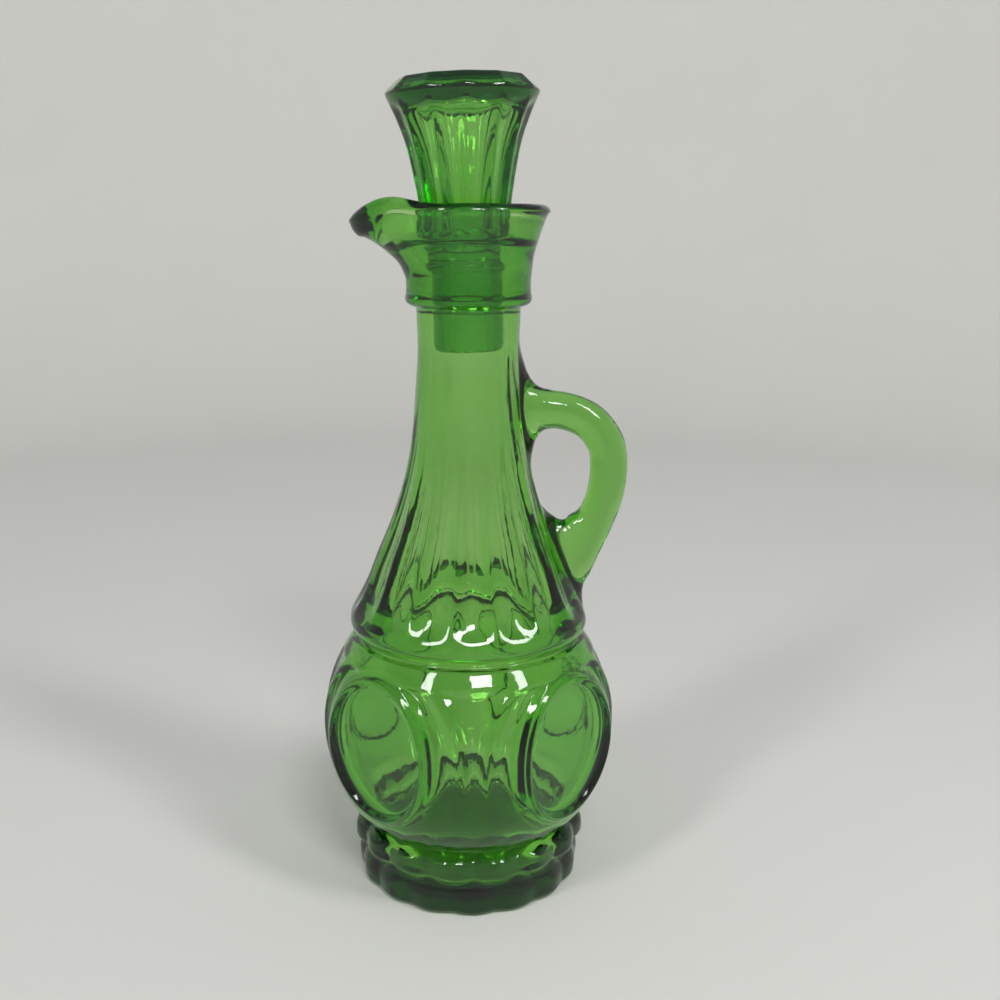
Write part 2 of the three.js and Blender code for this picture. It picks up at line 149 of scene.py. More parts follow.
# Handle: the middle line of its bar, and how the bar spreads where it meets the neck and the cone
HANDLE_LINE = [
    (11, 146), (20, 146.2), (28.5, 145.6), (36, 142.4), (41, 136), (42.2, 128.5),
    (41.2, 120), (38, 111), (34.4, 103), (31.6, 96), (30.6, 89), (30.4, 83.5),
]
HANDLE_HALF_THICKNESS = 5.6
HANDLE_HALF_WIDTH = 5.4
HANDLE_TOP_FLARE = 8.6
HANDLE_FLARE_END = 0.2
HANDLE_FLARE_WIDTH = 0.1
HANDLE_WEB = 9.0
HANDLE_WEB_FROM = 0.63
HANDLE_WEB_FULL = 0.77
HANDLE_TAIL_NARROWING = 1.2
HANDLE_JOINT_SOFTNESS = 7.0
HANDLE_JOINT_ROUNDS = 160
HANDLE_JOINT_SIDE_SHARE = 0.02
HANDLE_JOINT_SIDES = (0.35, 0.9)
CORE_MARGIN = 1.0
CORE_TOP_Z = 180.6

# Stopper: fluted head with a bevelled twelve-sided top, flange and plug, hollow from below
STOPPER_TOP_Z = 239.0
STOPPER_TOP_RADIUS = 17.0
STOPPER_BAND_RADIUS = 20.7
STOPPER_BAND_Z = 232.8
STOPPER_RIM_LINE = [(21.4, 234.2), (21.7, 235.2), (21.4, 235.8)]
STOPPER_BEVEL_LINE = [(18.5, 238.5), (17.8, 238.9)]
STOPPER_FACET_Z = (234.6, 236.0)
STOPPER_FLUTES = 12
STOPPER_TURN = 15.0
STOPPER_FLUTE_DEPTH = 1.3
STOPPER_FLUTE_FADES = (3.0, 2.5)
HEAD_FOOT_RADIUS = 12.6
HEAD_FOOT_Z = 196.0
HEAD_LINE = [(13.3, 206), (15.9, 220), (18.4, 227.6)]
FLANGE_LINE = [
    (10.3, 186.6), (10.9, 187.2), (10.9, 188.6), (10.5, 189.4), (9.9, 190.2), (9.9, 193.6), (12, 195),
]
PLUG_RADIUS = 10.1
PLUG_TOP_Z = 186.0
PLUG_END_Z = 164.0
PLUG_END_ROUND = (1.2, 1.6)
CAVITY_LINE = [
    (0, 234.3), (10, 234.2), (13.2, 233.8), (14.1, 232.5), (13.4, 229), (11.2, 223.3),
    (9.3, 217), (7.2, 208), (6.1, 199), (5, 188),
]
CAVITY_MOUTH = 5.0
STOPPER_LEAN = 1.5
STOPPER_LEAN_Z = 170.0

# How finely the glass is meshed
BODY_SIDES = 288
WINDOW_STEPS = BODY_SIDES // WINDOWS
STOPPER_SIDES = 192
HANDLE_SIDES = 40
HANDLE_STEPS = 96
CURVE_STEPS = 24
ARC_STEPS = 48
FOOT_SPACING = {"underside": 8.0, "edge": 0.6, "ring": 0.7, "groove": 0.8}
OUTSIDE_SPACING = {"ledge": 0.6, "cone": 1.7, "collar": 0.6, "lip": 1.0, "rim": 0.5}
INSIDE_SPACING = {"floor": 2.4, "bulb": 2.6, "cone": 3.4, "seat": 1.2, "funnel": 1.0}
STOPPER_SPACING = {
    "hollow": 1.6, "plug_end": 0.6, "plug": 3.0, "flange": 0.45,
    "head": 0.9, "rim": 0.4, "bevel": 0.4, "top": 2.5,
}
SPOUT_SPACING = 0.1
HANDLE_SPACING = 0.2
WELD_DISTANCE = 0.003
SEAM_DISTANCE = 0.02
ON_AXIS = 0.001
# Rings of a bulb quarter's grid that go to the window's flat and to its bezel
FLAT_RINGS = 0.22
BEZEL_RINGS = 0.5
RING_CENTRE = 1e-6
RING_MARGIN = 1e-4
LENGTH_FLOOR = 1e-9

# Glass: the light it takes per metre of its depth, its ripple, and the heights of its streaks in metres
GLASS_COLOUR = (0.39, 0.80, 0.03)
BOTTLE_GLASS = {"density": 210.0, "ripple_size": 55.0, "streaks": (0.085, 0.16)}
STOPPER_GLASS = {"density": 265.0, "ripple_size": 80.0, "streaks": (0.197, 0.232)}
GLASS_IOR = 1.52
GLASS_HAZE = 0.02
GLASS_TINTS = {"A": (0.94, 1.0, 0.92, 1), "B": (1.0, 1.0, 1.0, 1)}
BUMP_STRENGTH = 0.35
BUMP_DISTANCE = 0.0006
RIPPLE_DETAIL = 1.5
CHILL_DETAIL = 3.0
STREAK_STRETCH = 0.08
STREAK_FADE = 0.008

# Room, in metres: a round floor and a low wall, painted alike
ROOM_RADIUS = 1.05
ROOM_BEND = 0.3
ROOM_HEIGHT = 0.7
ROOM_SIDES = 96
ROOM_BEND_STEPS = 13
FLOOR_RADIUS = 0.3
# The floor is this far below the foot, in millimetres, so that the two faces don't share a plane
FLOOR_GAP = 0.3
PAINT = (0.70, 0.69, 0.66)
PAINT_SHADE = 0.96
PAINT_GRAIN = 9.0
PAINT_ROUGHNESS = 0.7

# Lights: name, place, what it faces, width and height in metres, power in watts
LIGHTS = [
    ("window light", (0.15, -0.75, 0.85), (0, 0, 0.1), (0.3, 0.2), 4),
    ("room light left", (-0.9, -0.9, 1.1), (0, 0.3, 0.25), (0.2, 0.8), 8.5),
    ("room light right", (0.9, -0.7, 1.1), (0, 0.3, 0.25), (0.2, 0.8), 8.5),
]
SKY = {"Color": (0.9, 0.95, 1.0, 1), "Strength": 0.33}
LIGHT_BOUNCES = 24

# Camera: where it stands, how far it looks down, and its framing
CAMERA_DISTANCE = 337.0
CAMERA_HEIGHT = 199.0
CAMERA_TURN = -2.6
CAMERA_PITCH = 13.4
CAMERA_LENS = 41.4
CAMERA_SHIFT = 0.0315
CAMERA_NEAREST = 0.01


# Curves in the plane of radius and height

def rises(low, high, value):
    """0 below low, 1 above high, and a soft step between them."""
    share = np.clip((np.asarray(value, float) - low) / (high - low), 0, 1)
    return share * share * (3 - 2 * share)


def falls(low, high, value):
    return 1 - rises(low, high, value)


def on_sphere(z, radius):
    return math.sqrt(max(radius ** 2 - (z - BULB_Z) ** 2, 0))


def evened(points, spacing):
    """The same line with points at about that spacing."""
    points = np.asarray(points, float)
    along = np.concatenate([[0], np.cumsum(np.linalg.norm(np.diff(points, axis=0), axis=1))])
    steps = max(1, round(along[-1] / spacing))
    places = np.linspace(0, along[-1], steps + 1)
    return np.stack([np.interp(places, along, points[:, axis]) for axis in range(2)], axis=1)


def smooth_line(points, spacing):
    """A soft line through all the points."""
    points = np.asarray(points, float)
    ends = np.vstack([2 * points[0] - points[1], points, 2 * points[-1] - points[-2]])
    share = np.linspace(0, 1, CURVE_STEPS, endpoint=False)[:, None]
    dense = []
    for before, start, end, after in zip(ends, ends[1:], ends[2:], ends[3:]):
        bend = 2 * before - 5 * start + 4 * end - after
        twist = 3 * start - before - 3 * end + after
        dense.append(0.5 * (2 * start + (end - before) * share + bend * share ** 2 + twist * share ** 3))
    dense.append(points[-1:])
    return evened(np.vstack(dense), spacing)


def straight(start, end, spacing):
    return evened([start, end], spacing)


def arc(centre, radii, from_angle, to_angle, spacing):
    turn = np.linspace(from_angle, to_angle, ARC_STEPS)
    points = np.stack([centre[0] + radii[0] * np.cos(turn), centre[1] + radii[1] * np.sin(turn)], axis=1)
    return evened(points, spacing)


def bulb_arc(radius, from_z, to_z, spacing):
    start, end = (math.asin((z - BULB_Z) / radius) for z in (from_z, to_z))
    return arc((0, BULB_Z), (radius, radius), start, end, spacing)


def chained(*lines):
    """Lines one after another, each without its first point where it meets the line before."""
    return np.vstack([lines[0]] + [line[1:] for line in lines[1:]])


# Node trees written as plain sums

class Field:
    """A value that changes from point to point of the glass. Sums with it add Math nodes to its tree."""

    def __init__(self, tree, socket):
        self.tree = tree
        self.socket = socket

    def __add__(self, other):
        return self.tree.math("ADD", self, other)

    def __radd__(self, other):
        return self.tree.math("ADD", other, self)

    def __sub__(self, other):
        return self.tree.math("SUBTRACT", self, other)

    def __rsub__(self, other):
        return self.tree.math("SUBTRACT", other, self)

    def __mul__(self, other):
        return self.tree.math("MULTIPLY", self, other)

    def __rmul__(self, other):
        return self.tree.math("MULTIPLY", other, self)

    def __truediv__(self, other):
        return self.tree.math("DIVIDE", self, other)

    def __rtruediv__(self, other):
        return self.tree.math("DIVIDE", other, self)

    def __pow__(self, other):
        return self.tree.math("POWER", self, other)


class GlassTree:
    """A Geometry Nodes tree with named sizes. It starts from a line or a piece and ends in glass."""

    def __init__(self, name, sizes):
        self.group = bpy.data.node_groups.new(name, "GeometryNodeTree")
        face = self.group.interface
        face.new_socket("Line", in_out="INPUT", socket_type="NodeSocketGeometry")
        for label, value in sizes.items():
            kind = "NodeSocketInt" if isinstance(value, int) else "NodeSocketFloat"
            face.new_socket(label, in_out="INPUT", socket_type=kind).default_value = value
        face.new_socket("Glass", in_out="INPUT", socket_type="NodeSocketMaterial")
        face.new_socket("Surface", in_out="OUTPUT", socket_type="NodeSocketGeometry")
        self.entry = self.group.nodes.new("NodeGroupInput")
        self.line = self.entry.outputs["Line"]

    def add(self, kind, inputs=None, **settings):
        node = self.group.nodes.new(kind)
        for setting, value in settings.items():
            setattr(node, setting, value)
        for key, value in (inputs or {}).items():
            self.feed(node.inputs[key], value)
        return node

    def feed(self, socket, value):
        if isinstance(value, Field):
            value = value.socket
        if isinstance(value, bpy.types.NodeSocket):
            self.group.links.new(value, socket)
        else:
            socket.default_value = value

    def size(self, label):
        return Field(self, self.entry.outputs[label])

    def math(self, operation, *values):
        node = self.add("ShaderNodeMath", operation=operation)
        for socket, value in zip(node.inputs, values):
            self.feed(socket, value)
        return Field(self, node.outputs[0])

    def cos(self, angle):
        return self.math("COSINE", angle)

    def sin(self, angle):
        return self.math("SINE", angle)

    def sqrt(self, value):
        return self.math("SQRT", self.math("MAXIMUM", value, 0.0))

    def size_of(self, value):
        return self.math("ABSOLUTE", value)

    def larger(self, one, other):
        return self.math("MAXIMUM", one, other)

    def smaller(self, one, other):
        return self.math("MINIMUM", one, other)

    def from_nearest(self, angle, count, start):
        """Angle from the nearest of `count` equal directions, the first of them at `start`."""
        half = math.pi / count
        return self.math("WRAP", angle - start, half, half * -1.0)

    def share(self, low, high, value, soft=False):
        """How far value is from low to high, from 0 to 1."""
        kind = "SMOOTHSTEP" if soft else "LINEAR"
        node = self.add("ShaderNodeMapRange", interpolation_type=kind)
        for key, number in (("Value", value), ("From Min", low), ("From Max", high)):
            self.feed(node.inputs[key], number)
        return Field(self, node.outputs["Result"])

    def rises(self, low, high, value):
        return self.share(low, high, value, soft=True)

    def falls(self, low, high, value):
        return 1.0 - self.rises(low, high, value)

    def point(self, x, y, z):
        return self.add("ShaderNodeCombineXYZ", {"X": x, "Y": y, "Z": z}).outputs["Vector"]

    def parts(self, vector):
        node = self.add("ShaderNodeSeparateXYZ", {"Vector": vector})
        return [Field(self, socket) for socket in node.outputs]

    def index(self):
        return Field(self, self.add("GeometryNodeInputIndex").outputs["Index"])

    def row_value(self, name, row):
        """What the line holds under that name at a row."""
        held = self.add("GeometryNodeInputNamedAttribute", {"Name": name}, data_type="FLOAT")
        picked = {"Geometry": self.line, "Value": held.outputs["Attribute"], "Index": row}
        return Field(self, self.add("GeometryNodeSampleIndex", picked, data_type="FLOAT").outputs["Value"])

    def row_vector(self, field, row):
        picked = {"Geometry": self.line, "Value": field, "Index": row}
        node = self.add("GeometryNodeSampleIndex", picked, data_type="FLOAT_VECTOR")
        return node.outputs["Value"]

    def sheet(self, sides):
        """A grid with one row for each point of the line, and its row and column numbers."""
        count = self.add("GeometryNodeAttributeDomainSize", {"Geometry": self.line})
        columns = sides + 1.0
        grid = {"Vertices X": count.outputs["Point Count"], "Vertices Y": columns}
        mesh = self.add("GeometryNodeMeshGrid", grid).outputs["Mesh"]
        row = self.math("FLOOR", (self.index() + 0.5) / columns)
        return mesh, row, self.index() - row * columns

    def changed(self, mesh, kind, **inputs):
        """The mesh after one more node."""
        named = {label.capitalize(): value for label, value in inputs.items()}
        return self.add(kind, {"Geometry": mesh, **named}).outputs["Geometry"]

    def finish(self, mesh, places):
        """Moves the grid's points to their places, closes its seams and gives it its glass, in metres."""
        self.close(self.changed(mesh, "GeometryNodeSetPosition", position=places))

    def close(self, mesh):
        mesh = self.changed(mesh, "GeometryNodeRealizeInstances")
        mesh = self.changed(mesh, "GeometryNodeMergeByDistance", distance=WELD_DISTANCE)
        self.glaze(self.changed(mesh, "GeometryNodeTransform", scale=(MM, MM, MM)))

    def glaze(self, mesh):
        mesh = self.changed(mesh, "GeometryNodeSetShadeSmooth")
        mesh = self.changed(mesh, "GeometryNodeSetMaterial", material=self.entry.outputs["Glass"])
        self.add("NodeGroupOutput", {"Surface": mesh})


def line_object(name, points, **row_values):
    """A line in the plane of radius and height whose points carry the values that the trees read."""
    mesh = bpy.data.meshes.new(name)
    edges = [(i, i + 1) for i in range(len(points) - 1)]
    mesh.from_pydata([(x, 0, z) for x, z in points], edges, [])
    for label, values in row_values.items():
        held = mesh.attributes.new(label, "FLOAT", "POINT")
        held.data.foreach_set("value", np.broadcast_to(values, len(points)).astype(np.float32))
    made = bpy.data.objects.new(name, mesh)
    bpy.context.scene.collection.objects.link(made)
    return made


def made_by(tree, obj, glass, **sizes):
    """Runs the tree on the object and leaves the surface as its plain mesh."""
    modifier = obj.modifiers.new(tree.group.name, "NODES")
    modifier.node_group = tree.group
    face = tree.group.interface
    sockets = {item.name: item.identifier for item in face.items_tree if item.in_out == "INPUT"}
    modifier[sockets["Glass"]] = glass
    for label, value in sizes.items():
        modifier[sockets[label.replace("_", " ").capitalize()]] = value
    evaluated = obj.evaluated_get(bpy.context.evaluated_depsgraph_get())
    surface = bpy.data.meshes.new_from_object(evaluated)
    obj.modifiers.remove(modifier)
    obj.data = surface
    return obj


# Glass turned about the axis: foot, cone, neck, lip, inside and stopper

TURNED_SIZES = {
    "Sides": BODY_SIDES,
    "Flutes": CONE_FLUTES,
    "First flute": 0.0,
    "Ridge sharpness": CONE_RIDGE_SHARPNESS,
    "Lobes": FOOT_LOBES,
    "Lobe roundness": LOBE_ROUNDNESS,
    "Spout narrowness": SPOUT_NARROWNESS,
    "Panes": WINDOWS,
    "Pane plane": INSIDE_PLANE,
    "Pane blend": INSIDE_PLANE_BLEND,
}


def turned_line(name, points, **row_values):
    """A line for the turned glass, with how much of each effect its rows take."""
    plain = dict(flute=0.0, lobe=0.0, lobe_turn=0.0, facet=0.0, pane=0.0, draw=0.0, drop=0.0, lift=0.0)
    return line_object(name, points, **{**plain, **row_values})


def turned_glass():
    tree = GlassTree("Turned glass", TURNED_SIZES)
    mesh, row, column = tree.sheet(tree.size("Sides"))
    angle = column * (2 * math.pi) / tree.size("Sides")
    position = tree.add("GeometryNodeInputPosition").outputs["Position"]
    radius, _, height = tree.parts(tree.row_vector(position, row))

    flutes = tree.size("Flutes")
    wave = tree.cos((angle - tree.size("First flute")) * flutes * 0.5)
    hollow = (wave * wave) ** tree.size("Ridge sharpness")
    lobes = tree.size("Lobes")
    swell = tree.cos((angle - tree.row_value("lobe_turn", row)) * lobes * 0.5)
    valley = 1.0 - (swell * swell) ** tree.size("Lobe roundness")
    pressed = radius - tree.row_value("flute", row) * hollow - tree.row_value("lobe", row) * valley

    across = tree.from_nearest(angle, flutes, tree.size("First flute"))
    polygon = tree.cos(math.pi / flutes) / tree.cos(across) - 1.0
    faceted = pressed * (1.0 + tree.row_value("facet", row) * polygon)

    panes = tree.size("Panes")
    off_pane = tree.from_nearest(angle, panes, math.pi / panes)
    pane = tree.size("Pane plane") / tree.cos(off_pane)
    levelled = tree.math("SMOOTH_MIN", faceted, pane, tree.size("Pane blend"))
    faceted = faceted + (levelled - faceted) * tree.row_value("pane", row)

    facing = tree.larger(0.0 - tree.cos(angle), 0.0) ** tree.size("Spout narrowness")
    out = faceted + tree.row_value("draw", row) * facing
    lift = tree.row_value("lift", row) * 4.0 * facing * (1.0 - facing)
    up = height + tree.row_value("drop", row) * facing * facing + lift
    out = out * tree.math("GREATER_THAN", radius, ON_AXIS)
    tree.finish(mesh, tree.point(out * tree.cos(angle), out * tree.sin(angle), up))
    return tree


def foot_line():
    """From the middle of the underside, over the plinth and the ring, to the bottom of the bulb."""
    spacing = FOOT_SPACING
    inner = FOOT_RADIUS - FOOT_EDGE
    underside = straight((0, 0), (inner, 0), spacing["underside"])
    edge = arc((inner, FOOT_EDGE), (FOOT_EDGE, FOOT_EDGE), -math.pi / 2, 0, spacing["edge"])
    ring = smooth_line([
        (FOOT_RADIUS, FOOT_EDGE), *FOOT_LINE, (NOTCH_RADIUS, NOTCH_Z), *RING_LINE, (GROOVE_RADIUS, GROOVE_Z),
    ], spacing["ring"])
    bulb_start = (on_sphere(BULB_BOTTOM_Z, BULB_RADIUS), BULB_BOTTOM_Z)
    groove = straight((GROOVE_RADIUS, GROOVE_Z), bulb_start, spacing["groove"])
    points = chained(underside, edge, ring, groove)
    radius, z = points.T
    from_radius, full_radius = PLINTH_LOBES_FROM
    on_foot = falls(NOTCH_Z - NOTCH_FADE, NOTCH_Z, z) * rises(from_radius, full_radius, radius)
    on_ring = rises(NOTCH_Z, NOTCH_Z + NOTCH_FADE, z) * falls(GROOVE_Z - RING_FADE, GROOVE_Z, z)
    lobe = FOOT_LOBE_DEPTH * on_foot + RING_LOBE_DEPTH * on_ring
    lobe_turn = np.where(z < NOTCH_Z, 0, math.pi / FOOT_LOBES)
    return turned_line("foot", points, lobe=lobe, lobe_turn=lobe_turn)


def outside_above_bulb():
    spacing = OUTSIDE_SPACING
    bulb_end = (on_sphere(BULB_TOP_Z, BULB_RADIUS), BULB_TOP_Z)
    lip_start, lip_end = (LIP_START_RADIUS, LIP_START_Z), (LIP_RADIUS, LIP_Z - LIP_ROUND)
    rim_middle = (LIP_RADIUS - LIP_WALL / 2, LIP_Z - LIP_ROUND)
    ledge = smooth_line([bulb_end, (WAIST_RADIUS, WAIST_Z), *LEDGE_LINE], spacing["ledge"])
    cone = smooth_line([LEDGE_LINE[-1], *CONE_LINE, (NECK_RADIUS, NECK_Z), NECK_TOP], spacing["cone"])
    collar = smooth_line([NECK_TOP, *COLLAR_LINE, lip_start], spacing["collar"])
    lip = smooth_line([lip_start, *LIP_LINE, lip_end], spacing["lip"])
    rim = arc(rim_middle, (LIP_WALL / 2, LIP_ROUND), 0, math.pi, spacing["rim"])
    return chained(ledge, cone, collar, lip, rim)


def inside_going_up():
    spacing = INSIDE_SPACING
    bulb_start, bulb_end = (
        (on_sphere(z, INSIDE_RADIUS), z) for z in (INSIDE_BOTTOM_Z, INSIDE_TOP_Z)
    )
    seat_start, seat_end = (BORE_RADIUS, SEAT_Z), (SEAT_RADIUS, SEAT_TOP_Z)
    lip_end = (LIP_RADIUS - LIP_WALL, LIP_Z - LIP_ROUND)
    floor = smooth_line([*FLOOR_LINE, bulb_start], spacing["floor"])
    bulb = bulb_arc(INSIDE_RADIUS, INSIDE_BOTTOM_Z, INSIDE_TOP_Z, spacing["bulb"])
    cone = smooth_line([bulb_end, *INSIDE_CONE_LINE, seat_start], spacing["cone"])
    seat = smooth_line([seat_start, (SEAT_RADIUS, SEAT_FULL_Z), seat_end], spacing["seat"])
    funnel = smooth_line([seat_end, *FUNNEL_LINE, lip_end], spacing["funnel"])
    return chained(floor, bulb, cone, seat, funnel)


def neck_line():
    """From the top of the bulb up the outside, over the rim, and down the inside to its floor."""
    outside = outside_above_bulb()
    inside = inside_going_up()[::-1]
    points = chained(outside, inside)
    radius, z = points.T
    is_outside = np.arange(len(points)) < len(outside)
    flute = CONE_FLUTE_DEPTH * rises(FLUTE_END_Z, FLUTE_FULL_Z, z) * falls(FLUTE_FULL_Z, FLUTE_FADE_Z, z)
    at_bottom, below_top, above_top = PANE_FADES
    pane = rises(INSIDE_BOTTOM_Z, INSIDE_BOTTOM_Z + at_bottom, z)
    pane = pane * falls(INSIDE_TOP_Z - below_top, INSIDE_TOP_Z + above_top, z)
    reach, sag = (
        np.interp(z, *smooth_line(line, SPOUT_SPACING).T) for line in (SPOUT_REACH, SPOUT_SAG)
    )
    up = np.clip((z - LIP_START_Z) / (LIP_Z - LIP_START_Z), 0, 1)
    over_rim = np.clip((LIP_RADIUS - radius) / LIP_WALL, 0, 1) * (z >= LIP_Z - LIP_ROUND)
    share = 1 - (1 - SPOUT_INSIDE_SHARE) * np.where(is_outside, over_rim, 1)
    return turned_line(
        "neck", points, flute=flute * is_outside, pane=pane * ~is_outside,
        draw=reach * share, drop=sag, lift=SPOUT_LIFT * up ** 3,
    )


# Bulb: one quarter with its window, repeated round the axis

BULB_SIZES = {
    "Steps": WINDOW_STEPS,
    "Windows": WINDOWS,
    "Bulb radius": BULB_RADIUS,
    "Bulb height": BULB_Z,
    "Bottom": BULB_BOTTOM_Z,
    "Top": BULB_TOP_Z,
    "Window height": WINDOW_Z,
    "Window half width": WINDOW_HALF_WIDTH,
    "Window half height": WINDOW_HALF_HEIGHT,
    "Window plane": WINDOW_PLANE,
    "Bezel width": BEZEL_WIDTH,
    "Bezel rise": BEZEL_RISE,
    "Panel bottom": PANEL_BOTTOM_Z,
    "Panel top": PANEL_TOP_Z,
    "Panel depth": PANEL_DEPTH,
    "Panel arch": PANEL_ARCH,
    "Panel ridge": PANEL_RIDGE,
    "Panel ridge spread": PANEL_RIDGE_SPREAD,
    "Panel ridge width": PANEL_RIDGE_WIDTH,
    "Panel ridge widening": PANEL_RIDGE_WIDENING,
}


def panel_flutes(tree, from_middle, height):
    """Depth of the three flutes of the hourglass panel between two windows."""
    bottom, top = tree.size("Panel bottom"), tree.size("Panel top")
    middle = tree.size("Window height")
    up = (height - middle) / (tree.size("Window half height") + tree.size("Bezel width"))
    window = (tree.size("Window half width") + tree.size("Bezel width")) * tree.sqrt(1.0 - up * up)
    edge = math.pi / tree.size("Windows") - tree.math("ARCTANGENT", window / tree.size("Window plane"))
    across = from_middle / edge
    spread = tree.rises(middle, top, height)
    ridge = tree.size("Panel ridge") + tree.size("Panel ridge spread") * spread
    crest = tree.size("Panel ridge width") + tree.size("Panel ridge widening") * spread
    middle_flute = tree.cos(tree.smaller(across / (ridge - crest), 1.0) * (math.pi / 2))
    side_flutes = tree.sin(tree.share(ridge + crest, 1.0, across) * math.pi)
    bow = tree.larger(tree.larger(middle_flute, side_flutes), 0.0) ** PANEL_FULLNESS
    end = bottom + tree.size("Panel arch") * (1.0 - bow)
    along = tree.rises(end, end + PANEL_RUN_IN, height) * tree.falls(top - PANEL_RUN_OUT, top, height)
    return tree.size("Panel depth") * along * bow


def windowed_bulb():
    tree = GlassTree("Windowed bulb", BULB_SIZES)
    points = tree.size("Steps") + 1.0
    grid = {"Size X": 2.0, "Size Y": 2.0, "Vertices X": points, "Vertices Y": points}
    quarter = tree.add("GeometryNodeMeshGrid", grid).outputs["Mesh"]
    right, upward, _ = tree.parts(tree.add("GeometryNodeInputPosition").outputs["Position"])
    ring = tree.larger(tree.larger(tree.size_of(right), tree.size_of(upward)), RING_CENTRE)
    length = tree.sqrt(right * right + upward * upward) + LENGTH_FLOOR
    half_width, half_height = tree.size("Window half width"), tree.size("Window half height")
    radius, centre = tree.size("Bulb radius"), tree.size("Bulb height")

    # Rings round the window: the flat, then the bezel
    bezel = tree.size("Bezel width") / half_width
    flat_share = 1.0 - bezel * BEZEL_INNER_SHARE
    bezel_share = tree.share(FLAT_RINGS, BEZEL_RINGS, ring)
    reach = tree.share(0.0, FLAT_RINGS, ring) * flat_share + bezel_share * bezel * BEZEL_OUTER_SHARE
    side = reach * half_width * right / length
    high = tree.size("Window height") + reach * half_height * upward / length
    sphere = tree.sqrt(radius * radius - side * side - (high - centre) ** 2.0)
    off_edge = (reach - 1.0) / bezel
    risen = tree.rises(*BEZEL_STEP, off_edge)
    bump = tree.cos(tree.share(*BEZEL_CREST, off_edge) * (2 * math.pi))
    rim = tree.size("Bezel rise") * (0.5 - 0.5 * bump)
    plane = tree.size("Window plane")
    depth = plane + (sphere - plane) * risen + rim

    # From the bezel out to the edges of the quarter
    out = tree.share(BEZEL_RINGS, 1.0, ring)
    from_angle = tree.math("ARCTAN2", side, sphere)
    edge_angle = right / ring * (math.pi / tree.size("Windows"))
    bottom, top = tree.size("Bottom"), tree.size("Top")
    edge_height = bottom + (top - bottom) * (upward / ring * 0.5 + 0.5)
    angle = from_angle + (edge_angle - from_angle) * out
    height = high + (edge_height - high) * out
    from_middle = math.pi / tree.size("Windows") - tree.size_of(angle)
    level = tree.sqrt(radius * radius - (height - centre) ** 2.0) - panel_flutes(tree, from_middle, height)

    beyond = tree.math("GREATER_THAN", ring, BEZEL_RINGS + RING_MARGIN)
    x = depth + (level * tree.cos(angle) - depth) * beyond
    y = side + (level * tree.sin(angle) - side) * beyond
    moved = tree.changed(quarter, "GeometryNodeSetPosition", position=tree.point(x, y, height))

    on_axis = {"Count": tree.size("Windows"), "Offset": (0, 0, 0)}
    spots = tree.add("GeometryNodeMeshLine", on_axis).outputs["Mesh"]
    turn = (tree.index() + 0.5) * (2 * math.pi) / tree.size("Windows")
    copies = {"Points": spots, "Instance": moved, "Rotation": tree.point(0.0, 0.0, turn)}
    tree.close(tree.add("GeometryNodeInstanceOnPoints", copies).outputs["Instances"])
    return tree


# Handle

HANDLE_SIZES = {"Sides": HANDLE_SIDES}


def handle_line():
    middle = smooth_line(HANDLE_LINE, HANDLE_SPACING)
    along = np.linspace(0, 1, HANDLE_STEPS + 1)
    places = np.round(along * (len(middle) - 1)).astype(int)
    flare = HANDLE_TOP_FLARE * falls(0, HANDLE_FLARE_END, along) ** 2
    open_end = (along > 0) & (along < 1)
    thick = (HANDLE_HALF_THICKNESS + flare) * open_end
    web = HANDLE_WEB * rises(HANDLE_WEB_FROM, HANDLE_WEB_FULL, along) * open_end
    narrowing = HANDLE_TAIL_NARROWING * rises(HANDLE_WEB_FULL, 1, along)
    wide = (HANDLE_HALF_WIDTH + flare * HANDLE_FLARE_WIDTH - narrowing) * open_end
    return line_object("handle", middle[places], thick=thick, web=web, wide=wide)


def bent_handle():
    """A bar that follows the handle's middle line. The row values give its section."""
    tree = GlassTree("Bent handle", HANDLE_SIZES)
    mesh, row, column = tree.sheet(tree.size("Sides"))
    turn = column * (2 * math.pi) / tree.size("Sides")
    position = tree.add("GeometryNodeInputPosition").outputs["Position"]
    x, y, z = tree.parts(tree.row_vector(position, row))
    before_x, _, before_z = tree.parts(tree.row_vector(position, tree.larger(row - 1.0, 0.0)))
    last = tree.add("GeometryNodeAttributeDomainSize", {"Geometry": tree.line}).outputs["Point Count"]
    next_row = tree.smaller(row + 1.0, Field(tree, last) - 1.0)
    after_x, _, after_z = tree.parts(tree.row_vector(position, next_row))
    step_x, step_z = after_x - before_x, after_z - before_z
    length = tree.sqrt(step_x * step_x + step_z * step_z)
    inner_side = tree.larger(0.0 - tree.cos(turn), 0.0)
    thick = tree.row_value("thick", row) + tree.row_value("web", row) * inner_side
    outward = thick * tree.cos(turn)
    place = tree.point(
        x - step_z / length * outward,
        y + tree.row_value("wide", row) * tree.sin(turn),
        z + step_x / length * outward,
    )
    tree.finish(mesh, place)
    return tree


def core_line():
    """A core inside the wall, which trims the handle so that it ends in the glass."""
    inside = inside_going_up()
    wall = inside[(inside[:, 1] > INSIDE_TOP_Z) & (inside[:, 1] < CORE_TOP_Z)]
    wall = wall + [CORE_MARGIN, 0]
    return turned_line("core", np.vstack([[0, wall[0, 1]], wall, [0, wall[-1, 1]]]))


